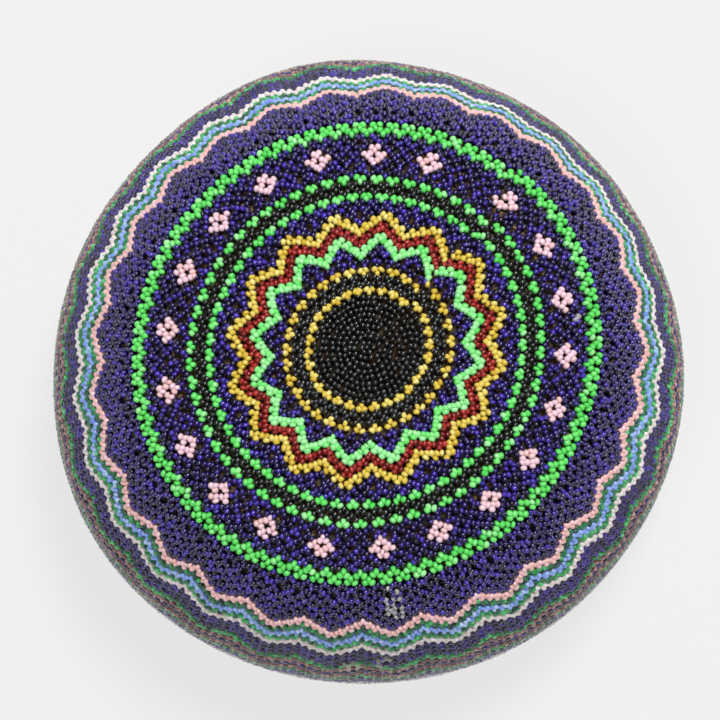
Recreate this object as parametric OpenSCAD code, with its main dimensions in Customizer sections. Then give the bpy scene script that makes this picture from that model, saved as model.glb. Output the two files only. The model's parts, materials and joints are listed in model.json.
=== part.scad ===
// Beaded basket, stored mouth down: coiled fibre basket inside, net of glass beads over all of it.
// Millimetres, +Z up, origin on the axis at the foot of the rim.

/* [View] */
// which piece to draw

/* [Shape] */
// widest diameter over the beads
belly_d = 180; // [170:1:190]
// radius of the nearly flat bottom of the basket
base_r = 47.8; // [44:0.2:50]
// slope of the bottom at its edge, degrees
base_slope = 4.1; // [3:0.1:6]
// radius where the shoulder ends
shoulder_r = 63.5; // [61:0.5:66]
// slope where the shoulder ends, degrees
shoulder_slope = 35; // [32:1:38]
// radius of the curve below the widest part
neck_bend_r = 36; // [32:1:40]
// how far the wall has turned at the rim, degrees
rim_turn = 140; // [132:1:142]

/* [Beads] */
// thickness of the layer of beads
bead_t = 1.7; // [1.5:0.05:1.8]
// area of net that one stitch of three beads covers, square mm
stitch_area = 7.085; // [6.6:0.005:7.4]
// points of the star round the bottom
star_points = 16; // [12:1:20]
// how far the star is turned from +X, degrees
star_turn = 3.5; // [0:0.25:22]
// flowers in the ring of flowers, which leaves one wider gap where the rounds begin and end
flower_count = 21; // [18:1:24]
// how far the first flower is turned from +X, degrees
flower_turn = 73; // [0:0.5:360]
// waves round the wall
wave_count = 29; // [25:1:31]
// how far the first dip of the waves is turned from +X, degrees
wave_turn = 7.25; // [0:0.25:12]

/* [Basket] */
// width of one round of the coil
coil_w = 3.6; // [3.2:0.1:4]
// wall thickness between two rounds
coil_web = 2.4; // [2:0.1:2.6]
// how far each round stands out on the inside
coil_bulge = 1.5; // [1:0.1:1.7]
// radius of the rim coil
rim_coil_r = 2.6; // [2.4:0.1:2.8]
// stitches of the rim lashing
lash_count = 87; // [60:1:100]
// radius of the lashing strand
lash_r = 0.35; // [0.25:0.05:0.4]
// radius of the bead thread
thread_r = 0.15; // [0.12:0.01:0.15]

/* [Hidden] */
$fn = 96;
gap_t = 0.3;
skin_t = bead_t + gap_t;
cut_z = -20;
belly_r = belly_d / 2;
rad = PI / 180;

// The wall is four arcs that meet smoothly, each known by the slope a of its outside.
r_base_arc = base_r / sin(base_slope);
r_shoulder_arc = (shoulder_r - base_r) / (sin(shoulder_slope) - sin(base_slope));
r_side_arc = (belly_r - shoulder_r) / (1 - sin(shoulder_slope));

// distance along the outside from the middle of the bottom to each joint of two arcs
s_base = r_base_arc * base_slope * rad;
s_shoulder = s_base + r_shoulder_arc * (shoulder_slope - base_slope) * rad;
s_belly = s_shoulder + r_side_arc * (90 - shoulder_slope) * rad;
s_rim = s_belly + neck_bend_r * (rim_turn - 90) * rad;

// heights of the same joints; rim_lift puts the rim coil's flat foot at z = 0
rim_axis_z = rim_coil_r - 0.2;
rim_mid = skin_t + coil_web / 2 + coil_bulge / 2;
neck_drop = neck_bend_r * sin(rim_turn - 90);
rim_lift = rim_axis_z + rim_coil_r * sin(rim_turn) + rim_mid * cos(rim_turn);
z_belly = rim_lift + neck_drop;
z_shoulder = z_belly + r_side_arc * cos(shoulder_slope);
z_base = z_shoulder + r_shoulder_arc * (cos(base_slope) - cos(shoulder_slope));
z_top = z_base + r_base_arc * (1 - cos(base_slope));

function slope_at(s) =
    s < s_base ? s / r_base_arc / rad :
    s < s_shoulder ? base_slope + (s - s_base) / r_shoulder_arc / rad :
    s < s_belly ? shoulder_slope + (s - s_shoulder) / r_side_arc / rad :
    90 + (s - s_belly) / neck_bend_r / rad;

function r_at(s) = let (a = slope_at(s))
    s < s_base ? r_base_arc * sin(a) :
    s < s_shoulder ? base_r + r_shoulder_arc * (sin(a) - sin(base_slope)) :
    s < s_belly ? shoulder_r + r_side_arc * (sin(a) - sin(shoulder_slope)) :
    belly_r - neck_bend_r * (1 - sin(a));

function z_at(s) = let (a = slope_at(s))
    s < s_base ? z_top - r_base_arc * (1 - cos(a)) :
    s < s_shoulder ? z_base - r_shoulder_arc * (cos(base_slope) - cos(a)) :
    s < s_belly ? z_belly + r_side_arc * cos(a) :
    z_belly + neck_bend_r * cos(a);

// a point of the wall's section: s along the outside, d into the wall
function wall_point(s, d) = let (a = slope_at(s))
    [max(0, r_at(s) - d * sin(a)), z_at(s) - d * cos(a)];

// Rounds of the net: each row of stitches lies one row height beyond the last.
function row_height(s, stitches) = stitch_area * stitches / (2 * PI * r_at(s));
function row_at(s, stitches, k) =
    k <= 0 ? s : row_at(s + row_height(s, stitches), stitches, k - 1);

flower_n = 4 * flower_count + 2;
belly_n = 4 * wave_count;

// Height of one round of the net in each zone, and where each zone of colour starts.
star_row = 1.55;
field_row = 1.66;
flower_row = 2;
wave_row = 1.26;
s_yellow_in = 14.85;
s_black_ring = 16.6;
s_yellow_out = 20.2;
s_inner_field = 22.4;
s_star = 24.7;
s_green_in = 40.25;
s_black_band = s_green_in + field_row;
s_green_out = s_green_in + 3 * field_row;
s_flower_field = s_green_in + 4 * field_row;
s_flower = 50.2;
s_flower_mid = s_flower + 1.5 * flower_row;
s_wide_green = 59.4;
s_wide_zone = 63.6;
s_wave = 75.3;
s_low = s_wave + 14 * wave_row;
s_net_end = s_rim - 0.3;

function wave_s(m) = s_wave + wave_row * m;
function low_s(m) = row_at(s_low, belly_n, m);
function star_s(m) = s_star + star_row * m;

// Steps of about 4 mm along the wall, with both ends kept.
function steps(s0, s1, step = 4) = let (n = max(1, ceil((s1 - s0) / step)))
    [for (i = [0 : n]) s0 + (s1 - s0) * i / n];

module shell(s0, s1, d0 = 0, d1 = bead_t) {
    up = steps(s0, s1);
    down = [for (i = [len(up) - 1 : -1 : 0]) up[i]];
    rotate_extrude()
        polygon(concat([for (s = up) wall_point(s, d0)], [for (s = down) wall_point(s, d1)]));
}

// A solid that opens upward from a point on the axis, with a zigzag edge:
// its teeth run between s0 and s1 on the outside of the wall.
function ray_slope(s) = r_at(s) / (z_at(s) - cut_z);

module zigzag(s0, s1, teeth, turn) {
    grow = 60;
    near = ray_slope(s0) * 2;
    far = ray_slope(s1) * 2;
    translate([0, 0, cut_z + 2])
        linear_extrude(height = 2 * grow - 2, scale = grow)
            polygon([for (i = [0 : 2 * teeth - 1])
                let (q = i % 2 == 0 ? near : far, a = turn + 180 * i / teeth) q * [cos(a), sin(a)]]);
}

// One band of the net between two zigzag edges.
module zigzag_band(in0, in1, out0, out1, teeth, turn) {
    difference() {
        intersection() {
            shell(in0 - 1.6, out1 + 1.6);
            zigzag(out0, out1, teeth, turn);
        }
        zigzag(in0, in1, teeth, turn);
    }
}

module star_band(m) {
    zigzag_band(star_s(m), star_s(m + 3), star_s(m + 2), star_s(m + 5),
        star_points, star_turn);
}

module wave_band(m) {
    zigzag_band(wave_s(m), wave_s(m + 4), wave_s(m + 2), wave_s(m + 6),
        wave_count, wave_turn);
}

module low_band(m, rows = 2) {
    zigzag_band(low_s(m), low_s(m + 4), low_s(m + rows), low_s(m + rows + 4),
        wave_count, wave_turn);
}

// One diamond of the ring of flowers, as an upright prism through the net.
module flower_prism(i) {
    r0 = r_at(s_flower - 0.4);
    r1 = r_at(s_flower_mid);
    r2 = r_at(s_flower + 3 * flower_row + 0.4);
    w = 2 * PI * r1 / flower_n * 1.05;
    rotate([0, 0, flower_turn + 4 * 360 / flower_n * i])
        translate([0, 0, z_top - 30])
            linear_extrude(height = 40)
                polygon([[r0, 0], [r1, w], [r2, 0], [r1, -w]]);
}

module flower_prisms() {
    for (i = [0 : flower_count - 1]) flower_prism(i);
}

// Basket wall: smooth under the net, with one bulge for each round on the inside.
bulge_steps = [-0.95, -0.6, 0, 0.6, 0.95];

function coil_inside(s_mid) =
    [for (x = bulge_steps)
        wall_point(s_mid + x * coil_w / 2, skin_t + coil_web + coil_bulge * sqrt(1 - x * x))];

module coils(first, last) {
    s0 = first * coil_w;
    s1 = (last + 1) * coil_w;
    outside = [for (s = steps(s0, s1, coil_w)) wall_point(s, skin_t)];
    inside = [for (k = [last : -1 : first]) let (p = coil_inside((k + 0.5) * coil_w))
        each [for (j = [len(p) - 1 : -1 : 0]) p[j]]];
    rotate_extrude()
        polygon(concat(outside, [wall_point(s1, skin_t + coil_web)], inside,
            [wall_point(s0, skin_t + coil_web)]));
}

last_coil = floor(s_rim / coil_w) - 1;
s_coils_end = (last_coil + 1) * coil_w;

// The rim coil lies just past the last round; its foot is cut flat where it wears.
rim_axis_r = wall_point(s_rim, rim_mid)[0] + rim_coil_r * cos(rim_turn);

module foot_cut() {
    translate([-belly_d, -belly_d, -20]) cube([2 * belly_d, 2 * belly_d, 20]);
}

module rim_ring(r) {
    rotate_extrude() translate([rim_axis_r, rim_axis_z]) circle(r = r);
}

// The last bit of wall, narrower than a whole round, that meets the rim coil.
module neck_end() {
    rotate_extrude()
        polygon([wall_point(s_coils_end, skin_t), wall_point(s_rim, skin_t),
            wall_point(s_rim, skin_t + coil_web + 0.6), wall_point(s_coils_end, skin_t + coil_web)]);
}

module lash_stitch(i) {
    rotate([0, 0, 360 * i / lash_count])
        translate([rim_axis_r, 0, rim_axis_z])
            rotate([90, 0, 0])
                rotate([0, 0, 130])
                    rotate_extrude(angle = 200)
                        translate([rim_coil_r + lash_r, 0]) circle(r = lash_r);
}

// A round of thread under the beads, six-sided in section.
module thread_ring(s) {
    p = wall_point(s, bead_t + gap_t / 2);
    rotate_extrude()
        polygon([for (i = [0 : 5]) p + thread_r * [cos(60 * i), sin(60 * i)]]);
}

// colours
straw = [0.72, 0.55, 0.3];
black = [0.06, 0.06, 0.07];
yellow = [0.9, 0.7, 0.15];
purple = [0.16, 0.1, 0.42];
green = [0.3, 0.85, 0.4];
dark_green = [0.08, 0.4, 0.22];
red = [0.5, 0.08, 0.08];
pink = [0.93, 0.66, 0.72];
rose = [0.7, 0.45, 0.45];
blue = [0.45, 0.6, 0.9];
white = [0.85, 0.82, 0.8];

base_last = floor(s_base / coil_w) - 1;
shoulder_last = floor(s_shoulder / coil_w);
wall_last = floor(s_belly / coil_w) - 1;

module start_knot() { color(straw) coils(0, 1); }
module base_coils() { color(straw) coils(2, base_last); }
module shoulder_coils() { color(straw) coils(base_last + 1, shoulder_last); }
module wall_coils() { color(straw) coils(shoulder_last + 1, wall_last); }
module neck_coils() {
    color(straw) {
        coils(wall_last + 1, last_coil);
        neck_end();
    }
}
module rim_coil() { color(straw) difference() { rim_ring(rim_coil_r); foot_cut(); } }
module rim_lashing() {
    color(straw) for (i = [0 : lash_count - 1]) difference() { lash_stitch(i); foot_cut(); }
}
module net_thread() {
    color(white) for (s = [6 : 6 : s_net_end]) thread_ring(s);
}

module beads_black_centre() { color(black) shell(0, s_yellow_in); }
module beads_yellow_inner_ring() { color(yellow) shell(s_yellow_in, s_black_ring); }
module beads_black_ring() { color(black) shell(s_black_ring, s_yellow_out); }
module beads_yellow_outer_ring() { color(yellow) shell(s_yellow_out, s_inner_field); }
module beads_purple_inner_field() {
    color(purple) intersection() {
        shell(s_inner_field, star_s(3) + 1.6);
        zigzag(star_s(0), star_s(3), star_points, star_turn);
    }
}
module beads_star_green() { color(green) star_band(0); }
module beads_star_red() { color(red) star_band(2); }
module beads_star_yellow() { color(yellow) star_band(4); }
module beads_purple_ring_field() {
    color(purple) difference() {
        shell(star_s(6) - 1.6, s_green_in);
        zigzag(star_s(6), star_s(9), star_points, star_turn);
    }
}
module beads_green_inner_ring() { color(green) shell(s_green_in, s_black_band); }
module beads_black_band() { color(black) shell(s_black_band, s_green_out); }
module beads_green_outer_ring() { color(green) shell(s_green_out, s_flower_field); }
module beads_purple_flower_field() {
    color(purple) difference() { shell(s_flower_field, s_wide_green); flower_prisms(); }
}
module beads_pink_flowers() {
    color(pink) intersection() { shell(s_flower_field, s_wide_green); flower_prisms(); }
}
module beads_green_wide_ring() { color(green) shell(s_wide_green, s_wide_zone); }
module beads_purple_wide_zone() {
    color(purple) intersection() {
        shell(s_wide_zone, wave_s(4) + 1.6);
        zigzag(wave_s(0), wave_s(4), wave_count, wave_turn);
    }
}
module beads_pink_wave() { color(pink) wave_band(0); }
module beads_dark_green_wave_a() { color(dark_green) wave_band(2); }
module beads_blue_wave() { color(blue) wave_band(4); }
module beads_dark_green_wave_b() { color(dark_green) wave_band(6); }
module beads_white_wave() { color(white) wave_band(8); }
module beads_purple_wave_zone() {
    color(purple) difference() {
        intersection() {
            shell(wave_s(10) - 1.6, low_s(4) + 1.6);
            zigzag(low_s(0), low_s(4), wave_count, wave_turn);
        }
        zigzag(wave_s(10), wave_s(14), wave_count, wave_turn);
    }
}
module beads_green_wave_c() { color(dark_green) low_band(0); }
module beads_rose_wave_a() { color(rose) low_band(2); }
module beads_purple_wave_b() { color(purple) low_band(4); }
module beads_rose_wave_b() { color(rose) low_band(6); }
module beads_green_wave_d() { color(dark_green) low_band(8); }
module beads_purple_belly_zone() { color(purple) low_band(10, 6); }
module beads_white_lower_wave() { color(white) low_band(16); }
module beads_dark_green_lower_wave_a() { color(dark_green) low_band(18); }
module beads_blue_lower_wave() { color(blue) low_band(20); }
module beads_dark_green_lower_wave_b() { color(dark_green) low_band(22); }
module beads_pink_lower_wave() { color(pink) low_band(24); }
module beads_purple_lower_zone() {
    color(purple) difference() {
        shell(low_s(26) - 1.6, low_s(33));
        zigzag(low_s(26), low_s(30), wave_count, wave_turn);
    }
}
module beads_purple_neck_zone() { color(purple) shell(low_s(33), s_net_end - 1.6); }
module beads_rim_edge() { color(black) shell(s_net_end - 1.6, s_net_end); }

// draw one piece, or all of them
start_knot();
base_coils();
shoulder_coils();
wall_coils();
neck_coils();
rim_coil();
rim_lashing();
net_thread();
beads_black_centre();
beads_yellow_inner_ring();
beads_black_ring();
beads_yellow_outer_ring();
beads_purple_inner_field();
beads_star_green();
beads_star_red();
beads_star_yellow();
beads_purple_ring_field();
beads_green_inner_ring();
beads_black_band();
beads_green_outer_ring();
beads_purple_flower_field();
beads_pink_flowers();
beads_green_wide_ring();
beads_purple_wide_zone();
beads_pink_wave();
beads_dark_green_wave_a();
beads_blue_wave();
beads_dark_green_wave_b();
beads_white_wave();
beads_purple_wave_zone();
beads_green_wave_c();
beads_rose_wave_a();
beads_purple_wave_b();
beads_rose_wave_b();
beads_green_wave_d();
beads_purple_belly_zone();
beads_white_lower_wave();
beads_dark_green_lower_wave_a();
beads_blue_lower_wave();
beads_dark_green_lower_wave_b();
beads_pink_lower_wave();
beads_purple_lower_zone();
beads_purple_neck_zone();
beads_rim_edge();
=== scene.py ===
"""A beaded basket, mouth down: every glass bead of the net over a coiled fibre basket.

Sizes here are millimetres and degrees. A point is turned into the frame's metres where it is
placed. The section of the wall is the same four arcs as in the CAD model.
"""
import json
import math
from collections import Counter, namedtuple

import bpy
import numpy as np
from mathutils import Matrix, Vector


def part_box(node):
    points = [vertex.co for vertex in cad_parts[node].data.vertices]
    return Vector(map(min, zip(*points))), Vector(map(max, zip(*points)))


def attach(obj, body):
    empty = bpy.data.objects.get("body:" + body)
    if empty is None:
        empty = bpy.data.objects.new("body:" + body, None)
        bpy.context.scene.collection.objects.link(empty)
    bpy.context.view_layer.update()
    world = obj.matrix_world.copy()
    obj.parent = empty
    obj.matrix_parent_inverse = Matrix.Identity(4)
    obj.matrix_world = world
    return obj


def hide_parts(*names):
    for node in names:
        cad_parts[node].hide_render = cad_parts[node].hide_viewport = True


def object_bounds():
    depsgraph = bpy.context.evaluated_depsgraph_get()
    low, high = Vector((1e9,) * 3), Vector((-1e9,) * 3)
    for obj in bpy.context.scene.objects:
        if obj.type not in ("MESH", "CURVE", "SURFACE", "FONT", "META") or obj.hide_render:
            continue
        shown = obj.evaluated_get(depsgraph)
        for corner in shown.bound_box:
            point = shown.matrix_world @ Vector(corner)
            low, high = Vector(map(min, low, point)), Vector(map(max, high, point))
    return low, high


MM = 0.001
SEED = 29

# the wall
BELLY_R = 90.0
BASE_R = 47.8
BASE_SLOPE = math.radians(4.1)
SHOULDER_R = 63.5
SHOULDER_SLOPE = math.radians(35)
NECK_BEND_R = 36.0
RIM_TURN = math.radians(140)
SKIN_T = 2.0
COIL_W = 3.6
WALL_T = 3.9
RIM_COIL_R = 2.6
RIM_AXIS_Z = RIM_COIL_R - 0.2

# the net
BEAD_D = 1.95
BEAD_L = 1.33
BEAD_DEPTH = 0.93
THREAD_R = 0.14
LEG_REACH = 0.21  # how far a leg's bead sits from the middle of its stitch, in stitches
STAR_TURN = 3.5
FLOWER_TURN = 73.0
WAVE_TURN = 7.25
STAR_POINTS = 16
FLOWERS = 21
WAVES = 29

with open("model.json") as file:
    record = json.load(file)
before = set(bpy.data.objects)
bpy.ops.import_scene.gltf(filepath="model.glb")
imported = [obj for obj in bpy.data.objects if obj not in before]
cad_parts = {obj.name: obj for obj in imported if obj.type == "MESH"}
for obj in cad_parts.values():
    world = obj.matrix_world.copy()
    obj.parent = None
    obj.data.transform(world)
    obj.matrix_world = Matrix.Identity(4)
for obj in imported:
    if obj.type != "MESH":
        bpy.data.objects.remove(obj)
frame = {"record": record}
CAD_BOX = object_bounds()
rng = np.random.default_rng(SEED)


# ---------------------------------------------------------------- the wall's section
class Wall:
    """The outside of the wall, by the distance s along it from the middle of the bottom."""

    base_arc = BASE_R / math.sin(BASE_SLOPE)
    shoulder_arc = (SHOULDER_R - BASE_R) / (math.sin(SHOULDER_SLOPE) - math.sin(BASE_SLOPE))
    side_arc = (BELLY_R - SHOULDER_R) / (1 - math.sin(SHOULDER_SLOPE))
    s_base = base_arc * BASE_SLOPE
    s_shoulder = s_base + shoulder_arc * (SHOULDER_SLOPE - BASE_SLOPE)
    s_belly = s_shoulder + side_arc * (math.pi / 2 - SHOULDER_SLOPE)
    s_rim = s_belly + NECK_BEND_R * (RIM_TURN - math.pi / 2)
    z_top = CAD_BOX[1].z / MM
    z_base = z_top - base_arc * (1 - math.cos(BASE_SLOPE))
    z_shoulder = z_base - shoulder_arc * (math.cos(BASE_SLOPE) - math.cos(SHOULDER_SLOPE))
    z_belly = z_shoulder - side_arc * math.cos(SHOULDER_SLOPE)


def section(s):
    """(slope, radius, height) of the outside of the wall at s."""
    s = np.asarray(s, float)
    zone = [s < Wall.s_base, s < Wall.s_shoulder, s < Wall.s_belly, s >= Wall.s_belly]
    a = np.select(zone, [
        s / Wall.base_arc,
        BASE_SLOPE + (s - Wall.s_base) / Wall.shoulder_arc,
        SHOULDER_SLOPE + (s - Wall.s_shoulder) / Wall.side_arc,
        math.pi / 2 + (s - Wall.s_belly) / NECK_BEND_R,
    ])
    r = np.select(zone, [
        Wall.base_arc * np.sin(a),
        BASE_R + Wall.shoulder_arc * (np.sin(a) - math.sin(BASE_SLOPE)),
        SHOULDER_R + Wall.side_arc * (np.sin(a) - math.sin(SHOULDER_SLOPE)),
        BELLY_R - NECK_BEND_R * (1 - np.sin(a)),
    ])
    z = np.select(zone, [
        Wall.z_top - Wall.base_arc * (1 - np.cos(a)),
        Wall.z_base - Wall.shoulder_arc * (math.cos(BASE_SLOPE) - np.cos(a)),
        Wall.z_belly + Wall.side_arc * np.cos(a),
        Wall.z_belly + NECK_BEND_R * np.cos(a),
    ])
    return a, r, z


# How far the wall is from round at its widest (mm), as {k: parts of cos ka and sin ka}. It
# begins at one s and grows over a length of wall, and it ends over another before the rim.
UNEVEN = {2: (0.4, 0.38), 3: (0.31, -0.62), 4: (0.0, 0.2), 6: (0.0, -0.19), 7: (0.18, 0.0)}
UNEVEN_FROM = 80.0
UNEVEN_GROWS = 25.0
UNEVEN_ENDS = 30.0


def uneven(s, angle):
    """How far the handmade wall stands out or in at s and angle, in mm."""
    amount = np.clip((s - UNEVEN_FROM) / UNEVEN_GROWS, 0, 1)
    amount = amount * np.clip((Wall.s_rim - s) / UNEVEN_ENDS, 0, 1)
    return amount * sum(c * np.cos(k * angle) + w * np.sin(k * angle)
                        for k, (c, w) in UNEVEN.items())


def on_wall(s, angle, depth):
    """Points in millimetres, and the three directions there: round, down the wall and out."""
    a, r, z = section(s)
    angle = np.broadcast_to(angle, a.shape)
    out_r, out_z = np.sin(a), np.cos(a)
    rr, zz = r + uneven(s, angle) - depth * out_r, z - depth * out_z
    c, w = np.cos(angle), np.sin(angle)
    zero = np.zeros_like(a)
    point = np.stack([rr * c, rr * w, zz], -1)
    along = np.stack([-w, c, zero], -1)
    down = np.stack([out_z * c, out_z * w, -out_r], -1)
    out = np.stack([out_r * c, out_r * w, out_z], -1)
    return point, along, down, out


# ---------------------------------------------------------------- meshes from arrays
def new_piece(name, points, loops, starts, attributes):
    """A mesh object from arrays: points in mm, corner indices, and where each face starts."""
    mesh = bpy.data.meshes.new(name)
    mesh.vertices.add(len(points))
    mesh.vertices.foreach_set("co", (points * MM).astype(np.float32).ravel())
    mesh.loops.add(len(loops))
    mesh.loops.foreach_set("vertex_index", loops.astype(np.int32))
    mesh.polygons.add(len(starts))
    mesh.polygons.foreach_set("loop_start", starts.astype(np.int32))
    mesh.update(calc_edges=True)
    mesh.polygons.foreach_set("use_smooth", np.full(len(starts), True))
    for key, values in attributes.items():
        layer = mesh.attributes.new(key, "FLOAT", "POINT")
        layer.data.foreach_set("value", values.astype(np.float32))
    obj = bpy.data.objects.new(name, mesh)
    bpy.context.scene.collection.objects.link(obj)
    return obj


def finish_piece(obj, node, mat):
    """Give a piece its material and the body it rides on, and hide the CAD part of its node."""
    obj.data.materials.append(mat)
    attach(obj, "root")
    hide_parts(node)


def lathe_template(profile, sides):
    """Points, corners and face starts of one closed turned shape about the x axis."""
    turn = 2 * np.pi * np.arange(sides) / sides
    points = np.array([[x, r * math.cos(t), r * math.sin(t)] for x, r in profile for t in turn])
    faces = []
    for ring in range(len(profile) - 1):
        for i in range(sides):
            j = (i + 1) % sides
            faces.append([ring * sides + i, ring * sides + j,
                          (ring + 1) * sides + j, (ring + 1) * sides + i])
    last = (len(profile) - 1) * sides
    faces.append([sides - 1 - i for i in range(sides)])
    faces.append([last + i for i in range(sides)])
    starts = np.cumsum([0] + [len(f) for f in faces[:-1]])
    return points, np.concatenate(faces), starts


# Half outlines of a bead, as parts of its length and of its half width; the second has a hole.
BEAD_PROFILE = [(-0.5, 0.5), (-0.36, 0.82), (0, 1), (0.36, 0.82), (0.5, 0.5)]
BEAD_PROFILE_HOLED = [(-0.46, 0.22), (-0.5, 0.4), (-0.45, 0.7), (-0.3, 0.92), (0, 1),
                      (0.3, 0.92), (0.45, 0.7), (0.5, 0.4), (0.46, 0.22)]


def repeat_template(template, place, frames):
    """The template's points carried to every place by its own 3x3 frame (rows are axes)."""
    points, loops, starts = template
    count = len(place)
    moved = np.einsum("vi,bij->bvj", points, frames) + place[:, None, :]
    step_v = len(points) * np.arange(count)[:, None]
    step_l = len(loops) * np.arange(count)[:, None]
    return (moved.reshape(-1, 3), (loops[None] + step_v).ravel(), (starts[None] + step_l).ravel())


# ---------------------------------------------------------------- the net's rows of stitches
Row = namedtuple("Row", "zone k s stitches turn half_start height")

FLOWER_N = 4 * FLOWERS + 2
WAVE_N = 4 * WAVES
ZONES = [
    # name, s of the first row, height of a row, stitches in a round, turn of the round in
    # degrees, number of rows, and whether the first row begins half a stitch on
    ("yellow_inner", 15.3, 1.7, 30, 3.0, 1, 0),
    ("black_ring", 16.95, 1.85, 37, 3.0, 2, 1),
    ("yellow_outer", 20.65, 2.1, 33, 5.0, 1, 0),
    ("inner_field", 22.85, 2.1, 44, 5.0, 1, 1),
    ("star", 25.1, 1.55, 3 * STAR_POINTS, STAR_TURN, 8, 0),
    ("ring_field", 37.45, 1.65, 4 * STAR_POINTS, 1.0, 8, 0),
    ("flower", 50.6, 2.0, FLOWER_N, FLOWER_TURN, 3, 0),
    ("flower_edge", 56.4, 1.75, FLOWER_N, FLOWER_TURN, 2, 1),
    ("wide_green", 59.9, 2.1, FLOWER_N, FLOWER_TURN, 2, 1),
    ("wide_zone", 64.1, 1.42, FLOWER_N, FLOWER_TURN, 3, 1),
    ("wide_zone", 68.5, 1.55, WAVE_N, WAVE_TURN, 5, 1),
    ("wave", 76.3, 1.12, WAVE_N, WAVE_TURN, 14, 0),
    ("belly", 92.0, 1.5, WAVE_N, WAVE_TURN, 12, 0),
    ("belly", 110.0, 1.3, WAVE_N, WAVE_TURN, 60, 0),
]
NET_GAP = 1.2  # between the last row and the rim coil
NET_END = Wall.s_rim - NET_GAP


def net_rows():
    """Every row of three-bead stitches, from the middle of the bottom to the rim.

    Row numbers go on where a zone is listed twice.
    """
    rows = []
    reached = Counter()
    for zone, s, height, stitches, turn, count, half in ZONES:
        for k in range(count):
            if s > NET_END:
                break
            rows.append(Row(zone, reached[zone], s, stitches, turn, (half + k) % 2, height))
            reached[zone] += 1
            s += height
    for i, after in enumerate(rows[1:]):
        rows[i] = rows[i]._replace(height=after.s - rows[i].s)
    return rows


def zigzag(h, halves, peak):
    """How many rows the zigzag stands out at half stitch h: 0 at a dip, peak at a point."""
    return np.abs((h + peak) % halves - peak)


# The zigzags: half stitches from one point to the next, and how many rows a point is high.
STAR_ZIGZAG = (6, 3)
WAVE_ZIGZAG = (8, 4)
STAR_BANDS = ["beads_star_green", "beads_star_red", "beads_star_yellow"]
WAVE_BANDS = ["beads_pink_wave", "beads_dark_green_wave_a", "beads_blue_wave",
              "beads_dark_green_wave_b", "beads_white_wave"]
BELLY_BANDS = ["beads_purple_wave_zone", "beads_green_wave_c", "beads_rose_wave_a",
               "beads_purple_wave_b", "beads_rose_wave_b", "beads_green_wave_d",
               "beads_purple_belly_zone", "beads_purple_belly_zone", "beads_purple_belly_zone",
               "beads_white_lower_wave", "beads_dark_green_lower_wave_a",
               "beads_blue_lower_wave", "beads_dark_green_lower_wave_b",
               "beads_pink_lower_wave"]
RING_FIELD = ["beads_purple_ring_field", "beads_purple_ring_field", "beads_green_inner_ring",
              "beads_black_band", "beads_black_band", "beads_green_outer_ring",
              "beads_purple_flower_field", "beads_purple_flower_field"]
PLAIN = {"yellow_inner": "beads_yellow_inner_ring", "black_ring": "beads_black_ring",
         "yellow_outer": "beads_yellow_outer_ring", "inner_field": "beads_purple_inner_field",
         "flower_edge": "beads_purple_flower_field", "wide_green": "beads_green_wide_ring",
         "wide_zone": "beads_purple_wide_zone"}
FLOWER_PITCH = 8  # half stitches from one flower to the next
NECK_ROW = 36  # the first row of the belly zone that belongs to the neck
EDGE_ROW_H = 1.6  # the edge is the row that lies this close to the end of the net


def banded(row, h, shape, inside, bands, outside):
    """The band at each half stitch: one band for every two rows beyond the zigzag."""
    band = (row - zigzag(h, *shape)) // 2
    return [inside if b < 0 else bands[b] if b < len(bands) else outside for b in band]


def blooms(row, h):
    """Whether each stitch is one of a flower's four: one, two and one in three rows."""
    pitch = FLOWER_PITCH
    h = np.where(h > pitch * FLOWERS - pitch / 2, h - 2 * FLOWER_N, h)
    flower = np.clip(np.round(h / pitch), 0, FLOWERS - 1)
    return np.abs(h - pitch * flower) == row % 2


def nodes_for(row, h):
    """The CAD node that each stitch of a row belongs to."""
    if row.zone == "star":
        return banded(row.k, h, STAR_ZIGZAG, "beads_purple_inner_field", STAR_BANDS,
                      "beads_purple_ring_field")
    if row.zone == "ring_field":
        return [RING_FIELD[row.k]] * len(h)
    if row.zone == "flower":
        return ["beads_pink_flowers" if b else "beads_purple_flower_field"
                for b in blooms(row.k, h)]
    if row.zone == "wave":
        return banded(row.k, h, WAVE_ZIGZAG, "beads_purple_wide_zone", WAVE_BANDS,
                      "beads_purple_wave_zone")
    if row.zone == "belly":
        beyond = "beads_purple_lower_zone" if row.k < NECK_ROW else "beads_purple_neck_zone"
        if row.s > NET_END - EDGE_ROW_H:
            return ["beads_rim_edge"] * len(h)
        return banded(row.k, h, WAVE_ZIGZAG, "beads_purple_wave_zone", BELLY_BANDS, beyond)
    return [PLAIN[row.zone]] * len(h)


# ---------------------------------------------------------------- the hand that made it
# The basket is a little oval and the net a little off its middle: how far each ring strays
# along the wall at some distances s (mm), as parts of sin 2a, cos a, sin a and cos 2a.
STRAY_S = (0, 15, 30, 45, 61, 77, 83, 89, 100, 118)
STRAY_OVAL = (0, 0.5, 0.85, 0.9, 1.55, 2.4, 2.3, 1.3, 0.5, 0)
STRAY_X = (0, 0, -0.4, -0.6, -0.85, 0.8, 0.8, 0.4, 0, 0)
STRAY_Y = (0, 0, 0, 0, 0.3, -0.5, -1.7, -2.1, -1.4, 0)
STRAY_WIDE = (0, 0, 0, 0, 0, 0.3, 0.6, 0.6, 0.3, 0)
# How far stitches slip round the wall (mm) at the star, the flowers and the waves, as parts of
# cos a, sin a, cos 2a, sin 2a, cos 3a and sin 3a.
SLIP_S = (30, 53, 75)
SLIPS = ((-0.28, 0.36, 0.32, 0.1, -0.28, -0.26),
         (-0.16, -1.15, 0.82, -0.13, -0.42, -0.21),
         (-0.3, -2.0, 0.5, -0.35, 0.0, 0.0))
# Both kinds of straying begin at the middle and reach their full size at these s (mm).
RING_GROWS = 15.0
SLIP_GROWS = 25.0
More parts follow.
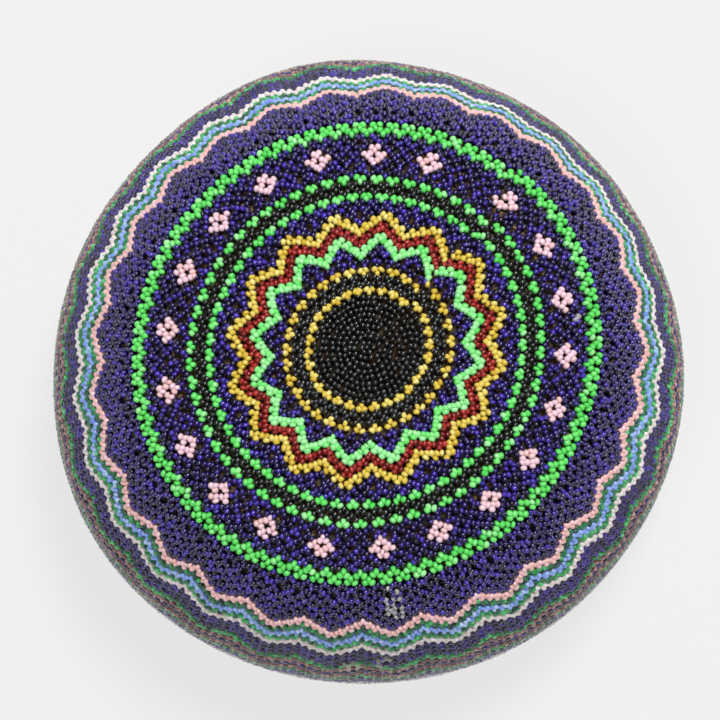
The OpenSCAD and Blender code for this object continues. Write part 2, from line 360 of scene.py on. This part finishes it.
# Small ripples along the wall: how many round it, size (mm), phase and change of phase per mm.
RIPPLES = ((9, 0.12, 0.0, -1 / 6), (5, 0.1, 0.0, 1 / 11))
WAVE_RIPPLES = ((13, 0.25, 1.3, 0.0), (7, 0.2, 2.2, 0.0))
WAVE_RIPPLES_FROM = 62.0
WAVE_RIPPLES_GROW = 12.0
# Where the rounds begin and end (degrees), how far that place turns over a stretch of wall
# (mm), and between which s (mm) the jog there dies away.
SEAM = 47.0
SEAM_STEP = 5.0
SEAM_STEP_FROM = 45.0
SEAM_STEP_OVER = 15.0
SEAM_FADES = (62.0, 70.0)


def rippled(ripples, s, angle):
    """The sum of some ripples round the wall, in mm."""
    return sum(size * np.sin(k * angle + phase + turn * s) for k, size, phase, turn in ripples)


def drift(s, angle):
    """How far the hand-made net strays from true: (along the wall, round), in mm."""
    ring = np.interp(s, STRAY_S, STRAY_OVAL) * np.sin(2 * angle)
    ring = ring + np.interp(s, STRAY_S, STRAY_X) * np.cos(angle)
    ring = ring + np.interp(s, STRAY_S, STRAY_Y) * np.sin(angle)
    ring = ring + np.interp(s, STRAY_S, STRAY_WIDE) * np.cos(2 * angle)
    ring = ring + rippled(RIPPLES, s, angle)
    wave = np.clip((s - WAVE_RIPPLES_FROM) / WAVE_RIPPLES_GROW, 0, 1)
    ring = ring + wave * rippled(WAVE_RIPPLES, s, angle)
    slip = np.zeros_like(s)
    for k, waves in enumerate(zip(*SLIPS)):
        turn = (k // 2 + 1) * angle
        slip = slip + np.interp(s, SLIP_S, waves) * (np.sin(turn) if k % 2 else np.cos(turn))
    return ring * np.clip(s / RING_GROWS, 0, 1), slip * np.clip(s / SLIP_GROWS, 0, 1)


def spiral(s, angle, height):
    """The net is worked in a spiral: a round ends one row beyond where it began."""
    seam = SEAM + SEAM_STEP * np.clip((s - SEAM_STEP_FROM) / SEAM_STEP_OVER, 0, 1)
    turn = (np.degrees(angle) - seam) % 360 / 360
    fade = 1 - np.clip((s - SEAM_FADES[0]) / (SEAM_FADES[1] - SEAM_FADES[0]), 0, 1)
    return s + (turn - 0.5) * height * fade


def stitch_beads(row, h):
    """The three beads of each stitch: one across the middle and one on each leg."""
    count = len(h)
    radius = float(section(row.s)[1])
    pitch = 2 * math.pi * radius / row.stitches
    angle = np.radians(row.turn) + h * math.pi / row.stitches
    leg = math.atan2(row.height, pitch / 2)
    s = np.concatenate([np.full(count, row.s), np.full(2 * count, row.s + row.height / 2)])
    quarter = LEG_REACH * pitch / radius
    angle = np.concatenate([angle, angle - quarter, angle + quarter])
    lean = np.concatenate([np.zeros(count), np.full(count, -leg), np.full(count, leg)])
    return spiral(s, angle, row.height), angle, lean


# How much real beads differ from each other (one standard deviation).
LOOSE = 0.09  # mm along and round the wall
LOOSE_DEPTH = 0.05  # mm
LOOSE_LEAN = math.radians(9)
LOOSE_TILT = math.radians(6)
LENGTH_VARIES = 0.07
WIDTH_VARIES = 0.035


def place_beads(s, angle, lean, size):
    """Places and frames of beads on the wall, with the small disorder of real ones."""
    count = len(s)
    radius = np.maximum(section(s)[1], 1.0)
    ring, slip = drift(s, angle)
    s = s + ring + rng.normal(0, LOOSE, count)
    angle = angle + (slip + rng.normal(0, LOOSE, count)) / radius
    lean = -lean + rng.normal(0, LOOSE_LEAN, count)
    depth = BEAD_DEPTH + rng.normal(0, LOOSE_DEPTH, count)
    point, along, down, out = on_wall(np.maximum(s, 0.0), angle, depth)
    tilt = rng.normal(0, LOOSE_TILT, (count, 2))
    hole = np.cos(lean)[:, None] * along + np.sin(-lean)[:, None] * down + tilt[:, :1] * out
    hole /= np.linalg.norm(hole, axis=1)[:, None]
    up = out - (out * hole).sum(1)[:, None] * hole + tilt[:, 1:] * np.cross(out, hole)
    up /= np.linalg.norm(up, axis=1)[:, None]
    side = np.cross(up, hole)
    length = size * BEAD_L * rng.normal(1, LENGTH_VARIES, count)
    width = size * BEAD_D / 2 * rng.normal(1, WIDTH_VARIES, count)
    frames = np.stack([hole * length[:, None], side * width[:, None], up * width[:, None]], 1)
    return point, frames


# ---------------------------------------------------------------- materials
class Shader:
    """A small helper that builds one node material."""

    def __init__(self, name):
        self.mat = bpy.data.materials.new(name)
        self.mat.use_nodes = True
        self.nodes = self.mat.node_tree.nodes
        self.links = self.mat.node_tree.links
        self.principled = self.nodes["Principled BSDF"]

    def add(self, kind, **values):
        """A new node, with its own settings or its inputs set by name."""
        node = self.nodes.new(kind)
        for key, value in values.items():
            if hasattr(node, key):
                setattr(node, key, value)
            else:
                node.inputs[key.replace("_", " ")].default_value = value
        return node

    def link(self, out, into):
        """Join an output to an input."""
        self.links.new(out, into)

    def set(self, **values):
        """Set inputs of the main shader by name."""
        for key, value in values.items():
            self.principled.inputs[key.replace("_", " ")].default_value = value

    def ramp(self, source, stops):
        """A colour ramp over a value, from (place, colour) stops."""
        node = self.nodes.new("ShaderNodeValToRGB")
        elements = node.color_ramp.elements
        while len(elements) < len(stops):
            elements.new(0.5)
        for element, (at, colour) in zip(elements, stops):
            element.position = at
            element.color = (*colour, 1)
        self.link(source, node.inputs["Fac"])
        return node.outputs["Color"]

    def mix(self, kind, factor, a, b):
        """Two colours blended; each value is a socket or a constant."""
        node = self.nodes.new("ShaderNodeMix")
        node.data_type = "RGBA"
        node.blend_type = kind
        for value, socket in ((factor, node.inputs[0]), (a, node.inputs[6]), (b, node.inputs[7])):
            if hasattr(value, "links"):
                self.link(value, socket)
            else:
                socket.default_value = value if isinstance(value, float) else (*value, 1)
        return node.outputs[2]

    def spread(self, source, low, high, from_low=0.3, from_high=0.7):
        """A value mapped from one range to another."""
        node = self.add("ShaderNodeMapRange")
        node.inputs["From Min"].default_value = from_low
        node.inputs["From Max"].default_value = from_high
        node.inputs["To Min"].default_value = low
        node.inputs["To Max"].default_value = high
        self.link(source, node.inputs["Value"])
        return node.outputs["Result"]


def srgb(r, g, b):
    """A colour given as the eye names it, 0 to 255, as linear light."""
    return tuple(((c / 255 + 0.055) / 1.055) ** 2.4 if c > 10 else c / 255 / 12.92
                 for c in (r, g, b))


GLASS_ROUGH = (0.05, 0.16)
COAT_ROUGH = 0.06
GLASS_STREAK = 0.22
GLASS_IOR = 1.52
PALE_DUST = srgb(252, 250, 228)


def bead_glass(name, edge, dark, mid, light, coat):
    """Drawn glass: its own tone for every bead, with painted shade deeper towards its sides (edge
    is the part of the colour left there), and faint streaks.
    """
    m = Shader(name)
    tone = m.add("ShaderNodeAttribute", attribute_name="tone")
    painted_shade_crown = m.add("ShaderNodeAttribute", attribute_name="painted_shade_crown")
    dust = m.add("ShaderNodeAttribute", attribute_name="dust")
    colour = m.ramp(tone.outputs["Fac"], [(0.0, dark), (0.5, mid), (1.0, light)])
    # painted shade: each bead's colour darkened towards its sides, full at its crown
    colour = m.mix("MULTIPLY", 1.0, colour, m.spread(painted_shade_crown.outputs["Fac"], edge, 1.0, 0.1, 0.95))
    noise = m.add("ShaderNodeTexNoise", Scale=1100.0, Detail=3.0)
    band = m.spread(noise.outputs["Fac"], 1 - GLASS_STREAK, 1 + GLASS_STREAK)
    colour = m.mix("MULTIPLY", 1.0, colour, band)
    flecks = m.add("ShaderNodeTexNoise", Scale=1500.0, Detail=2.0)
    worn = m.add("ShaderNodeMath", operation="MULTIPLY")
    m.link(dust.outputs["Fac"], worn.inputs[0])
    m.link(m.spread(flecks.outputs["Fac"], 0.0, 1.0, 0.53, 0.54), worn.inputs[1])
    colour = m.mix("MIX", worn.outputs[0], colour, PALE_DUST)
    m.link(colour, m.principled.inputs["Base Color"])
    m.link(m.spread(noise.outputs["Fac"], *GLASS_ROUGH), m.principled.inputs["Roughness"])
    bump = m.add("ShaderNodeBump", Strength=0.12, Distance=0.00004)
    m.link(noise.outputs["Fac"], bump.inputs["Height"])
    m.link(bump.outputs["Normal"], m.principled.inputs["Normal"])
    m.set(IOR=GLASS_IOR, Coat_Weight=coat, Coat_Roughness=COAT_ROUGH)
    return m.mat


def fibre(name, dark, mid, light, outer_face_dark):
    """Split fibre: streaks along each stitch, painted shade in the grooves between wraps, and
    darker on each round's outer face, with bare patches.
    """
    m = Shader(name)
    groove_shade = m.add("ShaderNodeAttribute", attribute_name="groove_shade")
    outside = m.add("ShaderNodeAttribute", attribute_name="outside")
    streaks = m.add("ShaderNodeTexNoise", Scale=900.0, Detail=5.0, Roughness=0.65)
    patches = m.add("ShaderNodeTexNoise", Scale=130.0, Detail=3.0)
    colour = m.ramp(streaks.outputs["Fac"], [(0.3, dark), (0.5, mid), (0.7, light)])
    # painted shade: the grooves between the wraps are darkened
    shade = m.spread(groove_shade.outputs["Fac"], 1.0, 0.35, 0.0, 1.0)
    colour = m.mix("MULTIPLY", 1.0, colour, shade)
    bare = m.spread(patches.outputs["Fac"], 1.0, 0.0, 0.55, 0.66)
    node = m.add("ShaderNodeMath", operation="MULTIPLY")
    m.link(outside.outputs["Fac"], node.inputs[0])
    m.link(bare, node.inputs[1])
    # each round's outer face, under the net, is made darker except in bare patches
    colour = m.mix("MIX", node.outputs[0], colour, outer_face_dark)
    m.link(colour, m.principled.inputs["Base Color"])
    m.link(m.spread(streaks.outputs["Fac"], 0.5, 0.8), m.principled.inputs["Roughness"])
    bump = m.add("ShaderNodeBump", Strength=0.5, Distance=0.0002)
    m.link(streaks.outputs["Fac"], bump.inputs["Height"])
    m.link(bump.outputs["Normal"], m.principled.inputs["Normal"])
    return m.mat


def cotton(name, dark, light):
    """Waxed cotton thread, grey with handling."""
    m = Shader(name)
    noise = m.add("ShaderNodeTexNoise", Scale=1500.0, Detail=4.0)
    colour = m.ramp(noise.outputs["Fac"], [(0.35, dark), (0.65, light)])
    m.link(colour, m.principled.inputs["Base Color"])
    m.set(Roughness=0.7)
    return m.mat


# How bright the colour stays at a bead's sides under the painted shade, and its darkest, middle and
# lightest bead.
GLASS = {
    "black_beads": (0.3, srgb(9, 11, 12), srgb(20, 22, 23), srgb(42, 44, 44)),
    "yellow_beads": (0.5, srgb(214, 176, 48), srgb(234, 206, 84), srgb(244, 226, 130)),
    "purple_beads": (0.06, srgb(15, 8, 38), srgb(35, 20, 92), srgb(70, 47, 180)),
    "green_beads": (0.5, srgb(84, 220, 90), srgb(112, 236, 112), srgb(166, 246, 164)),
    "dark_green_beads": (0.1, srgb(12, 68, 54), srgb(38, 150, 80), srgb(92, 228, 128)),
    "red_beads": (0.3, srgb(104, 18, 16), srgb(144, 28, 26), srgb(190, 56, 50)),
    "pink_beads": (0.65, srgb(244, 190, 184), srgb(248, 204, 204), srgb(250, 212, 226)),
    "rose_beads": (0.1, srgb(96, 56, 58), srgb(160, 108, 104), srgb(226, 178, 166)),
    "blue_beads": (0.45, srgb(116, 150, 232), srgb(146, 180, 248), srgb(190, 214, 252)),
    "white_beads": (0.7, srgb(226, 212, 208), srgb(242, 230, 228), srgb(252, 248, 248)),
}
# How strong the clear coat of a glass is, where it is not the usual.
USUAL_COAT = 0.3
COATS = {"purple_beads": 0.9, "rose_beads": 0.6, "dark_green_beads": 0.8, "black_beads": 1.0}


def all_materials():
    """Every material of the part, by its slot."""
    mats = {slot: bead_glass(slot, *shades, COATS.get(slot, USUAL_COAT))
            for slot, shades in GLASS.items()}
    mats["coiled_fibre"] = fibre("coiled_fibre", srgb(120, 78, 34), srgb(176, 124, 58),
                                 srgb(214, 168, 98), srgb(26, 21, 18))
    mats["lashing_strand"] = fibre("lashing_strand", srgb(104, 66, 30), srgb(150, 104, 52),
                                   srgb(196, 150, 86), srgb(40, 30, 22))
    mats["thread"] = cotton("thread", srgb(58, 56, 44), srgb(128, 124, 100))
    return mats


# ---------------------------------------------------------------- beads
HOLED = lathe_template(BEAD_PROFILE_HOLED, 10)
WHOLE = lathe_template(BEAD_PROFILE, 8)
SMALL = lathe_template(BEAD_PROFILE, 6)

# The middle of the net (mm).
DISC_RINGS = 9
DISC_RING_W = 1.56
DISC_BEAD_PITCH = 1.53
DISC_LOOSE = 0.12
DISC_SPIRAL_FROM = 8.0


def centre_disc():
    """The middle: single beads in close rings, lying every way."""
    s, angle = [np.array([0.0])], [np.array([0.0])]
    for ring in range(1, DISC_RINGS + 1):
        radius = ring * DISC_RING_W
        count = round(2 * math.pi * radius / DISC_BEAD_PITCH)
        s.append(np.full(count, radius))
        angle.append(2 * math.pi * (np.arange(count) + rng.random()) / count)
    s, angle = np.concatenate(s), np.concatenate(angle)
    jog = DISC_RING_W * np.clip(s / DISC_SPIRAL_FROM, 0, 1)
    s = spiral(s, angle, jog) + rng.normal(0, DISC_LOOSE, len(s))
    return s, angle, rng.uniform(0, math.pi, len(s))


def gather():
    """All beads by CAD node: {node: [s, angle, lean]}."""
    groups = {"beads_black_centre": [centre_disc()]}
    for row in net_rows():
        h = row.half_start + 2 * np.arange(row.stitches)
        names = np.array(nodes_for(row, h))
        for node in sorted(set(names)):
            groups.setdefault(node, []).append(stitch_beads(row, h[names == node]))
    return {n: [np.concatenate(c) for c in zip(*parts)] for n, parts in groups.items()}


# The largest groups get the simplest beads, and the plainest to see get the finest.
PLAIN_NODES = ("beads_purple_wide_zone", "beads_purple_lower_zone", "beads_purple_neck_zone")
FINE_WORDS = ("yellow", "star", "ring", "flower", "pink", "blue", "white", "black_b")


def template_for(node):
    """The bead shape for a node, as fine as its place and the number of its beads allow."""
    if node in PLAIN_NODES:
        return SMALL
    if "lower" in node:
        return WHOLE
    return HOLED if any(word in node for word in FINE_WORDS) else WHOLE


# Bead sizes against the usual one.
SIZES = {"black_beads": 0.94, "purple_beads": 0.93, "red_beads": 0.95, "green_beads": 1.05,
         "pink_beads": 1.04}
# Where a node's beads lie, on average, from the darkest (0) to the lightest (1) of their glass.
USUAL_TONE = 0.5
TONE_VARIES = 0.25
MEAN_TONE = {"beads_pink_flowers": 0.85, "beads_pink_wave": 0.25, "beads_dark_green_wave_a": 0.3,
             "beads_star_green": 0.85, "beads_green_inner_ring": 0.4, "beads_green_wide_ring": 0.4}
DUSTY = 0.7  # the share of beads in a patch that are dusty
DUST = [
    # first and last angle (degrees) and s (mm) of each patch
    (273.2, 277.2, 65.5, 76),
    (264.8, 267.8, 96, 101),
    (270.6, 273.4, 93, 99),
    (6.0, 9.0, 57, 59.5),
]


def dust_on(s, angle):
    """A few beads wear flecks of pale dust, in small patches."""
    amount = np.zeros(len(s))
    degrees = np.degrees(angle) % 360
    for a0, a1, s0, s1 in DUST:
        inside = (degrees > a0) & (degrees < a1) & (s > s0) & (s < s1)
        amount = np.where(inside, 1.0, amount)
    return amount * (rng.random(len(s)) < DUSTY)


def build_beads(mats, slot_of):
    """One piece of separate beads for each beads node."""
    for node, (s, angle, lean) in sorted(gather().items()):
        place, frames = place_beads(s, angle, lean, SIZES.get(slot_of[node], 1.0))
        template = template_for(node)
        points, loops, starts = repeat_template(template, place, frames)
        each = len(template[0])
        tone = np.clip(rng.normal(MEAN_TONE.get(node, USUAL_TONE), TONE_VARIES, len(s)), 0, 1)
        # painted shade: each point's height on its bead, used to darken the bead's sides
        painted_shade_crown = np.tile(0.5 + 0.5 * template[0][:, 2], len(s))
        dust = dust_on(s, angle)
        piece = new_piece("visual_" + node, points, loops, starts,
                          {"tone": np.repeat(tone, each), "dust": np.repeat(dust, each),
                           "painted_shade_crown": painted_shade_crown})
        finish_piece(piece, node, mats[slot_of[node]])


# ---------------------------------------------------------------- thread
THREAD_REACH = 0.35  # where the thread comes out of a bead, in bead lengths from its middle
THREAD_SIDES = 3
THREAD_PROFILE = [(-0.5, 1), (0.5, 1)]


def thread_ends():
    """(s, angle) of both ends of every length of thread between a bead and the next round's."""
    start, end = [], []
    rows = net_rows()
    for row, beyond in zip(rows, rows[1:]):
        if row.stitches != beyond.stitches or row.turn != beyond.turn:
            continue
        h = row.half_start + 2 * np.arange(row.stitches)
        here = np.radians(row.turn) + h * math.pi / row.stitches
        reach = THREAD_REACH * BEAD_L / float(section(row.s)[1])
        step = math.pi / row.stitches
        for way in (-1, 1):
            near, far = here + way * reach, here + way * (step - reach)
            start.append((spiral(np.full(len(h), row.s), near, row.height), near))
            end.append((spiral(np.full(len(h), beyond.s), far, row.height), far))
    return [[np.concatenate(c) for c in zip(*parts)] for parts in (start, end)]


def thread_piece(mats):
    """The thread from the middle bead of each stitch to those of the next round."""
    corners = []
    for s, angle in thread_ends():
        ring, slip = drift(s, angle)
        radius = section(s)[1]
        corners.append(on_wall(s + ring, angle + slip / radius, BEAD_DEPTH))
    (p0, _, _, out), (p1, _, _, _) = corners
    link = p1 - p0
    length = np.linalg.norm(link, axis=1)
    axis = link / length[:, None]
    up = out - (out * axis).sum(1)[:, None] * axis
    up /= np.linalg.norm(up, axis=1)[:, None]
    side = np.cross(up, axis)
    frames = np.stack([axis * length[:, None], side * THREAD_R, up * THREAD_R], 1)
    template = lathe_template(THREAD_PROFILE, THREAD_SIDES)
    points, loops, starts = repeat_template(template, (p0 + p1) / 2, frames)
    piece = new_piece("visual_net_thread", points, loops, starts, {})
    finish_piece(piece, "net_thread", mats["thread"])


# ---------------------------------------------------------------- the coiled basket
def torus_sheet(name, rings, around):
    """Closed tubes round the axis: rings is a list of (points [n, around, 3], attributes)."""
    points, loops, starts = [], [], []
    groove_shade, outside = [], []
    base = 0
    # dark is the painted shade of the grooves between wraps; face marks the darker outer face of a
    # round
    for ring, dark, face in rings:
        n = ring.shape[0]
        i = np.arange(n)[:, None]
        j = np.arange(around)[None]
        a = i * around + j
        b = ((i + 1) % n) * around + j
        c = ((i + 1) % n) * around + (j + 1) % around
        d = i * around + (j + 1) % around
        quads = np.stack([a, b, c, d], -1).reshape(-1, 4) + base
        points.append(ring.reshape(-1, 3))
        loops.append(quads.ravel())
        groove_shade.append(dark.ravel())
        outside.append(face.ravel())
        base += n * around
    loops = np.concatenate(loops)
    starts = np.arange(0, len(loops), 4)
    return new_piece(name, np.concatenate(points), loops, starts,
                     {"groove_shade": np.concatenate(groove_shade), "outside": np.concatenate(outside)})


STITCH_W = 2.6
COIL_LAP = 0.4  # how far each round reaches into the next
COIL_SIDES = 7
SAMPLES = 4  # steps round the basket for each stitch
LEAST_STITCHES = 6
LEAST_R = 0.05
WRAP_DIP = 0.1  # how much thinner a coil is between its wraps
COIL_INSET = 3.0  # from the net's outside to where a round's stitches are counted
LEAST_COIL_R = 2.0
COIL_PHASE = 0.37  # how far each round's wraps shift against the last, in wraps
START_ROUNDS = 2
# how sharply and how far the outer face of a round is made darker
OUTER_FACE_STEEP = 1.5
OUTER_FACE_ROUND = 0.2


def wrapped_round(s_mid, radius, phase, half_w, half_t, depth):
    """One round of the coil, with the wraps of its stitches standing out."""
    stitches = max(LEAST_STITCHES, round(2 * math.pi * radius / STITCH_W))
    n = stitches * SAMPLES
    turn = np.arange(n)[:, None] / n
    t = 2 * np.pi * (np.arange(COIL_SIDES)[None] + 0.5) / COIL_SIDES
    twist = t / (2 * np.pi)
    wrap = np.abs(np.cos(np.pi * (turn * stitches + twist + phase)))
    swell = 1 - WRAP_DIP * (1 - wrap)
    s = s_mid + half_w * swell * np.cos(t)
    inward = depth + half_t * swell * np.sin(t)
    a, r, z = section(s)
    angle = 2 * np.pi * turn + 0 * t
    rr = np.maximum(r + uneven(s, angle) - inward * np.sin(a), LEAST_R)
    zz = z - inward * np.cos(a)
    ring = np.stack([rr * np.cos(angle), rr * np.sin(angle), zz + 0 * angle], -1)
    # the side of the round towards the net is made darker
    outside = np.clip(OUTER_FACE_ROUND - OUTER_FACE_STEEP * np.sin(t), 0, 1) + 0 * turn
    # 1 - wrap: painted shade in the grooves between wraps
    return ring, 1 - wrap, outside


def coil_rounds(node, first, last, mats):
    """The rounds of one node, by their numbers from the middle of the bottom."""
    rings = []
    for i in range(first, last + 1):
        s_mid = (i + 0.5) * COIL_W
        radius = max(float(section(s_mid)[1]) - COIL_INSET, LEAST_COIL_R)
        rings.append(wrapped_round(s_mid, radius, COIL_PHASE * i, COIL_W / 2 + COIL_LAP,
                                   WALL_T / 2, SKIN_T + WALL_T / 2))
    piece = torus_sheet("visual_" + node, rings, COIL_SIDES)
    finish_piece(piece, node, mats["coiled_fibre"])


def build_basket(mats):
    """The five groups of rounds, split where the wall's curve changes."""
    base_last = int(Wall.s_base // COIL_W) - 1
    shoulder_last = int(Wall.s_shoulder // COIL_W)
    wall_last = int(Wall.s_belly // COIL_W) - 1
    last = int(Wall.s_rim // COIL_W) - 1
    coil_rounds("start_knot", 0, START_ROUNDS - 1, mats)
    coil_rounds("base_coils", START_ROUNDS, base_last, mats)
    coil_rounds("shoulder_coils", base_last + 1, shoulder_last, mats)
    coil_rounds("wall_coils", shoulder_last + 1, wall_last, mats)
    coil_rounds("neck_coils", wall_last + 1, last, mats)


RIM_STITCHES = 300
RIM_SIDES = 12
RIM_DIP = 0.07  # how much thinner the rim is between its wraps


def rim_piece(mats):
    """The rim coil, its foot worn flat, closely overcast with split fibre."""
    axis_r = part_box("rim_coil")[1].x / MM - RIM_COIL_R
    n = RIM_STITCHES * SAMPLES
    turn = np.arange(n)[:, None] / n
    t = 2 * np.pi * np.arange(RIM_SIDES)[None] / RIM_SIDES
    wrap = np.abs(np.cos(np.pi * (turn * RIM_STITCHES + t / (2 * np.pi))))
    swell = RIM_COIL_R * (1 - RIM_DIP * (1 - wrap))
    angle = 2 * np.pi * turn + 0 * t
    rr = axis_r + swell * np.cos(t)
    zz = np.maximum(RIM_AXIS_Z + swell * np.sin(t), 0.0)
    ring = np.stack([rr * np.cos(angle), rr * np.sin(angle), zz], -1)
    # 1 - wrap: painted shade in the grooves between the rim's wraps
    piece = torus_sheet("visual_rim_coil", [(ring, 1 - wrap, 0 * wrap)], RIM_SIDES)
    finish_piece(piece, "rim_coil", mats["coiled_fibre"])
    return axis_r


LASHINGS = 87
LASHING_SIDES = 5
LASHING_STEPS = 11
LASHING_FROM, LASHING_TO = 130, 330  # degrees round the rim coil's section
LASHING_SLANT = 0.008  # how far a stitch runs round the rim for each radian round the coil
LASHING_W = 0.75  # half the width of a strand
LASHING_T = 0.3  # half its thickness
LASHING_FOOT = 0.12  # the lowest middle of a strand above the floor


def lashing_ring(axis_r, sweep, angle):
    """One section of a stitch: its corners, at sweep round the coil and angle round the rim."""
    reach = RIM_COIL_R + LASHING_T
    c, w = math.cos(angle), math.sin(angle)
    outward = np.array([math.cos(sweep) * c, math.cos(sweep) * w, math.sin(sweep)])
    across = np.array([-w, c, 0])
    path_r = axis_r + reach * math.cos(sweep)
    path_z = max(RIM_AXIS_Z + reach * math.sin(sweep), LASHING_FOOT)
    centre = np.array([path_r * c, path_r * w, path_z])
    t = 2 * np.pi * np.arange(LASHING_SIDES)[:, None] / LASHING_SIDES
    ring = centre + LASHING_T * np.cos(t) * outward + LASHING_W * np.sin(t) * across
    ring[:, 2] = np.maximum(ring[:, 2], 0.0)
    return ring


def lashing_faces(base):
    """The faces of one stitch, its first corner being number base."""
    faces = []
    for k in range(LASHING_STEPS - 1):
        near, far = base + k * LASHING_SIDES, base + (k + 1) * LASHING_SIDES
        for i in range(LASHING_SIDES):
            j = (i + 1) % LASHING_SIDES
            faces.append([near + i, near + j, far + j, far + i])
    last = base + (LASHING_STEPS - 1) * LASHING_SIDES
    faces.append([base + i for i in reversed(range(LASHING_SIDES))])
    faces.append([last + i for i in range(LASHING_SIDES)])
    return faces


def lashing_piece(axis_r, mats):
    """Slanting stitches that bind the rim coil to the last round."""
    sweep = np.radians(np.linspace(LASHING_FROM, LASHING_TO, LASHING_STEPS))
    slant = (sweep - sweep.mean()) * LASHING_SLANT
    rings, faces = [], []
    for n in range(LASHINGS):
        angle = 2 * math.pi * n / LASHINGS
        rings += [lashing_ring(axis_r, sweep[k], angle + slant[k]) for k in range(LASHING_STEPS)]
        faces += lashing_faces(n * LASHING_STEPS * LASHING_SIDES)
    starts = np.cumsum([0] + [len(f) for f in faces[:-1]])
    points = np.concatenate(rings)
    zero = np.zeros(len(points))
    piece = new_piece("visual_rim_lashing", points, np.concatenate(faces), starts,
                      {"groove_shade": zero, "outside": zero})
    finish_piece(piece, "rim_lashing", mats["lashing_strand"])


# ---------------------------------------------------------------- stage, light and camera
FLOOR_HALF = 3.0
FLOOR_GREYS = ((0.14, 0.14, 0.14), (0.16, 0.158, 0.156))
FLOOR_GLOW = 0.74  # the pale floor is a lit sheet, as in the photograph


def floor():
    """A plain pale sheet under the basket."""
    m = Shader("floor")
    noise = m.add("ShaderNodeTexNoise", Scale=3.0, Detail=2.0)
    colour = m.ramp(noise.outputs["Fac"], list(zip((0.3, 0.7), FLOOR_GREYS)))
    m.link(colour, m.principled.inputs["Base Color"])
    m.set(Roughness=0.9, Specular_IOR_Level=0.1, Emission_Color=(1, 0.99, 0.985, 1),
          Emission_Strength=FLOOR_GLOW)
    mesh = bpy.data.meshes.new("floor")
    corners = [(x * FLOOR_HALF, y * FLOOR_HALF, 0) for x, y in ((-1, -1), (1, -1), (1, 1), (-1, 1))]
    mesh.from_pydata(corners, [], [(0, 1, 2, 3)])
    obj = bpy.data.objects.new("floor", mesh)
    bpy.context.scene.collection.objects.link(obj)
    mesh.materials.append(m.mat)


def area_light(name, place, target, size, energy):
    """A square light that faces its target; places and size in metres, energy in watts."""
    light = bpy.data.lights.new(name, "AREA")
    light.size = size
    light.energy = energy
    obj = bpy.data.objects.new(name, light)
    obj.location = place
    obj.rotation_euler = (Vector(target) - Vector(place)).to_track_quat("-Z", "Y").to_euler()
    bpy.context.scene.collection.objects.link(obj)


WORLD_COLOUR = (0.93, 0.95, 1.0, 1)
WORLD_STRENGTH = 0.12
LIT_POINT = (0, 0, 0.05)


def lights():
    """Soft light from behind on the right, a weaker one from the left front, and a dim room."""
    world = bpy.data.worlds.new("studio")
    world.use_nodes = True
    background = world.node_tree.nodes["Background"]
    background.inputs["Color"].default_value = WORLD_COLOUR
    background.inputs["Strength"].default_value = WORLD_STRENGTH
    bpy.context.scene.world = world
    area_light("softbox", (0.25, 0.55, 1.3), LIT_POINT, size=0.42, energy=16.5)
    area_light("fill", (-0.35, -0.45, 1.3), LIT_POINT, size=0.3, energy=4.5)


# The camera, in metres and millimetres of sensor.
CAMERA_ELEVATION = math.radians(83.0)
CAMERA_DISTANCE = 0.6216
CAMERA_LENS = 115
CAMERA_SHIFT = (-0.0098, -0.0077)
SENSOR_W = 36
LOOK_AT = Vector((0, 0, 0.0706))


def camera():
    """The photograph's view: nearly straight down, with the basket a little off the middle."""
    data = bpy.data.cameras.new("camera")
    data.sensor_width = SENSOR_W
    data.lens = CAMERA_LENS
    data.shift_x, data.shift_y = CAMERA_SHIFT
    obj = bpy.data.objects.new("camera", data)
    back = Vector((0, -math.cos(CAMERA_ELEVATION), math.sin(CAMERA_ELEVATION)))
    obj.location = LOOK_AT + back * CAMERA_DISTANCE
    obj.rotation_euler = (-back).to_track_quat("-Z", "Y").to_euler()
    bpy.context.scene.collection.objects.link(obj)
    bpy.context.scene.camera = obj


def main():
    """Build every piece, then the stage."""
    slot_of = {p["node"]: p["material_slot"] for p in frame["record"]["subparts"]}
    mats = all_materials()
    build_beads(mats, slot_of)
    thread_piece(mats)
    build_basket(mats)
    axis_r = rim_piece(mats)
    lashing_piece(axis_r, mats)
    floor()
    lights()
    camera()
    bpy.context.scene.view_settings.view_transform = "Standard"


main()
